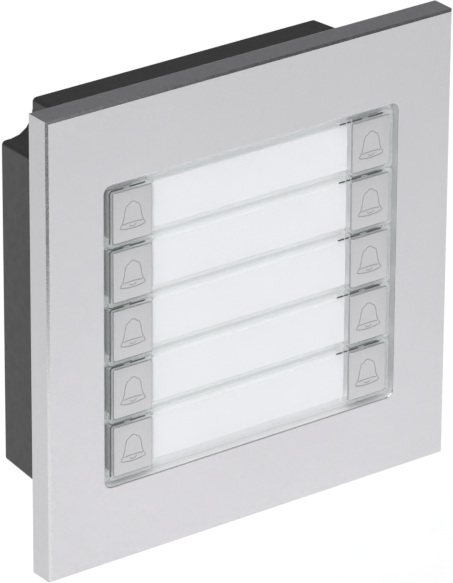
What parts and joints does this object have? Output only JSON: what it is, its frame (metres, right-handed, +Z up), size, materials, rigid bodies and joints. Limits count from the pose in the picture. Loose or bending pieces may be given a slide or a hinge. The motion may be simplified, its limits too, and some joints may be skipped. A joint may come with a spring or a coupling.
{
  "type": "door intercom panel",
  "caption": "Flush-mounted door call station: satin aluminium frame, clear-edged bell keys at both ends of backlit name strips, black box behind for the wall.",
  "frame": {"origin": "centre of the flush box's outer back face", "axes": "+Z up, +X to the right as seen from the street, +Y into the wall; the front faces -Y"},
  "size_m": [0.135, 0.0353, 0.135],
  "materials": {
    "satin_aluminium": "fine satin anodised, bead blasted, slightly polished edges",
    "silver_paint": "satin silver paint on an opaque plastic insert",
    "clear_key": "clear polycarbonate, faintly grey-green, polished",
    "clear_window": "clear polycarbonate, polished front",
    "clear_surround": "milky translucent polycarbonate",
    "label_film": "blank white translucent film",
    "milky_guide": "milky light-scattering acrylic",
    "black_box_plastic": "moulded, fine spark-eroded texture",
    "grey_plastic": "moulded, smooth",
    "board_green": "solder-masked glass-fibre board",
    "switch_black": "moulded, slightly glossy",
    "terminal_green": "moulded",
    "screw_steel": "zinc-plated steel",
    "gasket_foam": "closed-cell foam, matt",
    "lamp_white": "moulded LED package"
  },
  "bodies": {
    "station": {"cover_frame": "satin_aluminium", "frame_gasket": "gasket_foam", "flush_box": "black_box_plastic", "mounting_frame": "grey_plastic", "module_surround": "clear_surround", "light_guide": "milky_guide", "circuit_board": "board_green", "terminal_block": "terminal_green", "bus_connector": "switch_black", "module_housing": "grey_plastic", "label_window_1": "clear_window", "name_label_1": "label_film", "key_switch_left_1": "switch_black", "key_switch_right_1": "switch_black", "label_window_2": "clear_window", "name_label_2": "label_film", "key_switch_left_2": "switch_black", "key_switch_right_2": "switch_black", "label_window_3": "clear_window", "name_label_3": "label_film", "key_switch_left_3": "switch_black", "key_switch_right_3": "switch_black", "label_window_4": "clear_window", "name_label_4": "label_film", "key_switch_left_4": "switch_black", "key_switch_right_4": "switch_black", "label_window_5": "clear_window", "name_label_5": "label_film", "key_switch_left_5": "switch_black", "key_switch_right_5": "switch_black", "box_screw_1": "screw_steel", "backlight_lamp_1": "lamp_white", "box_screw_2": "screw_steel", "backlight_lamp_2": "lamp_white", "box_screw_3": "screw_steel", "backlight_lamp_3": "lamp_white", "box_screw_4": "screw_steel", "backlight_lamp_4": "lamp_white"},
    "key_left_1": {"key_left_1": "clear_key", "key_insert_left_1": "silver_paint"},
    "key_left_2": {"key_left_2": "clear_key", "key_insert_left_2": "silver_paint"},
    "key_left_3": {"key_left_3": "clear_key", "key_insert_left_3": "silver_paint"},
    "key_left_4": {"key_left_4": "clear_key", "key_insert_left_4": "silver_paint"},
    "key_left_5": {"key_left_5": "clear_key", "key_insert_left_5": "silver_paint"},
    "key_right_1": {"key_right_1": "clear_key", "key_insert_right_1": "silver_paint"},
    "key_right_2": {"key_right_2": "clear_key", "key_insert_right_2": "silver_paint"},
    "key_right_3": {"key_right_3": "clear_key", "key_insert_right_3": "silver_paint"},
    "key_right_4": {"key_right_4": "clear_key", "key_insert_right_4": "silver_paint"},
    "key_right_5": {"key_right_5": "clear_key", "key_insert_right_5": "silver_paint"}
  },
  "joints": [
    {"name": "key_left_1_press", "type": "slide", "parent": "station", "child": "key_left_1", "axis": [0, 1, 0], "range_m": [0, 0.0008], "stiffness_N_per_m": 900, "springref_m": -0.0009},
    {"name": "key_left_2_press", "type": "slide", "parent": "station", "child": "key_left_2", "axis": [0, 1, 0], "range_m": [0, 0.0008], "stiffness_N_per_m": 900, "springref_m": -0.0009},
    {"name": "key_left_3_press", "type": "slide", "parent": "station", "child": "key_left_3", "axis": [0, 1, 0], "range_m": [0, 0.0008], "stiffness_N_per_m": 900, "springref_m": -0.0009},
    {"name": "key_left_4_press", "type": "slide", "parent": "station", "child": "key_left_4", "axis": [0, 1, 0], "range_m": [0, 0.0008], "stiffness_N_per_m": 900, "springref_m": -0.0009},
    {"name": "key_left_5_press", "type": "slide", "parent": "station", "child": "key_left_5", "axis": [0, 1, 0], "range_m": [0, 0.0008], "stiffness_N_per_m": 900, "springref_m": -0.0009},
    {"name": "key_right_1_press", "type": "slide", "parent": "station", "child": "key_right_1", "axis": [0, 1, 0], "range_m": [0, 0.0008], "stiffness_N_per_m": 900, "springref_m": -0.0009},
    {"name": "key_right_2_press", "type": "slide", "parent": "station", "child": "key_right_2", "axis": [0, 1, 0], "range_m": [0, 0.0008], "stiffness_N_per_m": 900, "springref_m": -0.0009},
    {"name": "key_right_3_press", "type": "slide", "parent": "station", "child": "key_right_3", "axis": [0, 1, 0], "range_m": [0, 0.0008], "stiffness_N_per_m": 900, "springref_m": -0.0009},
    {"name": "key_right_4_press", "type": "slide", "parent": "station", "child": "key_right_4", "axis": [0, 1, 0], "range_m": [0, 0.0008], "stiffness_N_per_m": 900, "springref_m": -0.0009},
    {"name": "key_right_5_press", "type": "slide", "parent": "station", "child": "key_right_5", "axis": [0, 1, 0], "range_m": [0, 0.0008], "stiffness_N_per_m": 900, "springref_m": -0.0009}
  ]
}
